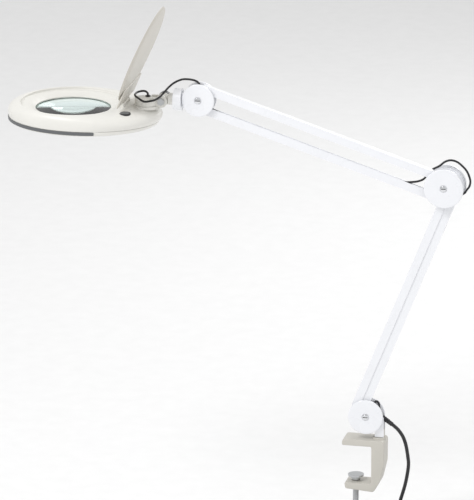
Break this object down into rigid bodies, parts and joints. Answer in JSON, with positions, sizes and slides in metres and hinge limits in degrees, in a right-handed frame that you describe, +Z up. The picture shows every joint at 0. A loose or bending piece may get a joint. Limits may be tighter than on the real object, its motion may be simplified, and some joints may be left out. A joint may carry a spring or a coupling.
{
  "type": "magnifying lamp",
  "caption": "Clamp-on magnifying lamp: oval lighted head with a round lens and hinged cover on a sprung parallelogram arm.",
  "frame": {"origin": "middle of the top jaw's gripping face, on the clamp screw's axis", "axes": "+Z up; +X from the clamp screw towards the clamp's spine, so the head is towards -X; the arms swing in planes of constant Y; +Y away from the side with the cover screws"},
  "size_m": [0.7532, 0.196, 0.857],
  "materials": {
    "white_paint": "bright white satin paint",
    "head_plastic": "warm grey-white moulded plastic",
    "cover_beige": "beige-grey moulded plastic",
    "cast_cream": "cream paint over a casting",
    "chrome": "polished",
    "steel": "zinc-plated",
    "grey_plastic": "grey moulded plastic",
    "black_plastic": "black moulded plastic",
    "black_cord": "smooth black cable sheath",
    "rubber": "matte black rubber",
    "lens_glass": "clear, faintly green",
    "reflector_white": "white reflector",
    "diffuser_plastic": "frosted white",
    "circuit_board": "green circuit board"
  },
  "bodies": {
    "clamp": {"clamp_frame": "cast_cream", "jaw_pad": "rubber", "mains_lead": "black_cord", "mains_coil": "black_cord", "mains_plug": "black_cord"},
    "clamp_pad": {"pressure_cup": "steel"},
    "clamp_screw": {"clamp_screw": "steel", "clamp_knob": "black_plastic"},
    "base_bracket": {"base_post": "cast_cream", "base_plate_front": "white_paint", "base_plate_rear": "white_paint", "base_cap_front": "white_paint", "base_cap_rear": "white_paint", "base_cap_screw": "chrome", "base_pin_outer": "steel", "base_pin_inner": "steel", "lead_relief": "black_cord"},
    "lower_inner": {"lower_inner_bar": "white_paint", "cable_lower": "black_cord"},
    "lower_outer": {"lower_outer_bar": "white_paint", "lower_spring": "steel"},
    "elbow_bracket": {"elbow_plate_front": "white_paint", "elbow_plate_middle": "white_paint", "elbow_plate_rear": "white_paint", "elbow_cap_front": "white_paint", "elbow_cap_rear": "white_paint", "elbow_cap_screw": "chrome", "elbow_pin_lower_outer": "steel", "elbow_pin_lower_inner": "steel", "elbow_pin_upper_outer": "steel", "elbow_pin_upper_inner": "steel"},
    "upper_inner": {"upper_inner_bar": "white_paint", "cable_upper": "black_cord"},
    "upper_outer": {"upper_outer_bar": "white_paint", "upper_spring": "steel"},
    "head_bracket": {"head_plate_front": "white_paint", "head_plate_rear": "white_paint", "head_cap_front": "white_paint", "head_cap_rear": "white_paint", "head_cap_screw": "chrome", "head_pin_outer": "steel", "head_pin_inner": "steel", "head_flange": "white_paint"},
    "roll_barrel": {"roll_barrel": "head_plastic"},
    "tilt_hub": {"tilt_hub": "head_plastic", "tilt_bolt": "steel", "cable_gland": "black_cord", "cable_head": "black_cord"},
    "tilt_knob": {"tilt_knob": "grey_plastic"},
    "head": {"top_housing": "head_plastic", "bottom_housing": "head_plastic", "lens": "lens_glass", "lens_ring": "head_plastic", "reflector": "reflector_white", "led_board": "circuit_board", "diffuser": "diffuser_plastic", "driver_board": "circuit_board", "cover_hinge_pin": "steel"},
    "lens_cover": {"lens_cover": "cover_beige"},
    "power_button": {"power_button": "grey_plastic"}
  },
  "joints": [
    {"name": "base_swivel", "type": "hinge", "parent": "clamp", "child": "base_bracket", "pos_m": [0.038, 0, 0.014], "axis": [0, 0, 1], "range_deg": [-135, 135], "deforming": ["mains_lead"]},
    {"name": "lower_arm_lift", "type": "hinge", "parent": "base_bracket", "child": "lower_inner", "pos_m": [0.0059, 0, 0.0459], "axis": [0, 1, 0], "range_deg": [-20, 38], "deforming": ["cable_lower"]},
    {"name": "lower_outer_follow", "type": "hinge", "parent": "base_bracket", "child": "lower_outer", "pos_m": [-0.0001, 0, 0.0659], "axis": [0, 1, 0], "range_deg": [-20, 38]},
    {"name": "elbow_follow", "type": "hinge", "parent": "lower_inner", "child": "elbow_bracket", "pos_m": [0.1561, 0, 0.4243], "axis": [0, 1, 0], "range_deg": [-38, 20]},
    {"name": "upper_arm_lift", "type": "hinge", "parent": "elbow_bracket", "child": "upper_inner", "pos_m": [0.1309, -0.0108, 0.4248], "axis": [0, 1, 0], "range_deg": [-45, 45], "deforming": ["cable_upper"]},
    {"name": "upper_outer_follow", "type": "hinge", "parent": "elbow_bracket", "child": "upper_outer", "pos_m": [0.1309, -0.0108, 0.4598], "axis": [0, 1, 0], "range_deg": [-45, 45]},
    {"name": "head_bracket_follow", "type": "hinge", "parent": "upper_inner", "child": "head_bracket", "pos_m": [-0.2472, -0.0108, 0.5459], "axis": [0, 1, 0], "range_deg": [-45, 45]},
    {"name": "head_roll", "type": "hinge", "parent": "head_bracket", "child": "roll_barrel", "pos_m": [-0.2967, -0.0108, 0.5612], "axis": [1, 0, 0], "range_deg": [-90, 90], "deforming": ["cable_head"]},
    {"name": "head_tilt", "type": "hinge", "parent": "roll_barrel", "child": "tilt_hub", "pos_m": [-0.3167, -0.0108, 0.5582], "axis": [0, 1, 0], "range_deg": [-30, 60]},
    {"name": "tilt_knob_turn", "type": "hinge", "parent": "tilt_hub", "child": "tilt_knob", "pos_m": [-0.3167, 0.0001, 0.5582], "axis": [0, 1, 0], "range_deg": [-180, 180]},
    {"name": "head_pan", "type": "hinge", "parent": "tilt_hub", "child": "head", "pos_m": [-0.3427, -0.0108, 0.5504], "axis": [0, 0, 1], "range_deg": [-30, 30]},
    {"name": "lens_cover_hinge", "type": "hinge", "parent": "head", "child": "lens_cover", "pos_m": [-0.3782, -0.0108, 0.5517], "axis": [0, 1, 0], "range_deg": [-113, 0]},
    {"name": "power_button_press", "type": "slide", "parent": "head", "child": "power_button", "axis": [0, 0, -1], "range_m": [0, 0.0015], "stiffness_N_per_m": 500},
    {"name": "clamp_pad_travel", "type": "slide", "parent": "clamp", "child": "clamp_pad", "axis": [0, 0, 1], "range_m": [0, 0.045]},
    {"name": "clamp_screw_turn", "type": "hinge", "parent": "clamp_pad", "child": "clamp_screw", "pos_m": [0, 0, -0.06], "axis": [0, 0, 1], "range_deg": [0, 5401]}
  ],
  "couplings": [
    {"joint": "lower_outer_follow", "follows": "lower_arm_lift", "ratio": 1},
    {"joint": "elbow_follow", "follows": "lower_arm_lift", "ratio": -1},
    {"joint": "upper_outer_follow", "follows": "upper_arm_lift", "ratio": 1},
    {"joint": "head_bracket_follow", "follows": "upper_arm_lift", "ratio": -1},
    {"joint": "clamp_screw_turn", "follows": "clamp_pad_travel", "rad_per_m": 2094.4}
  ]
}
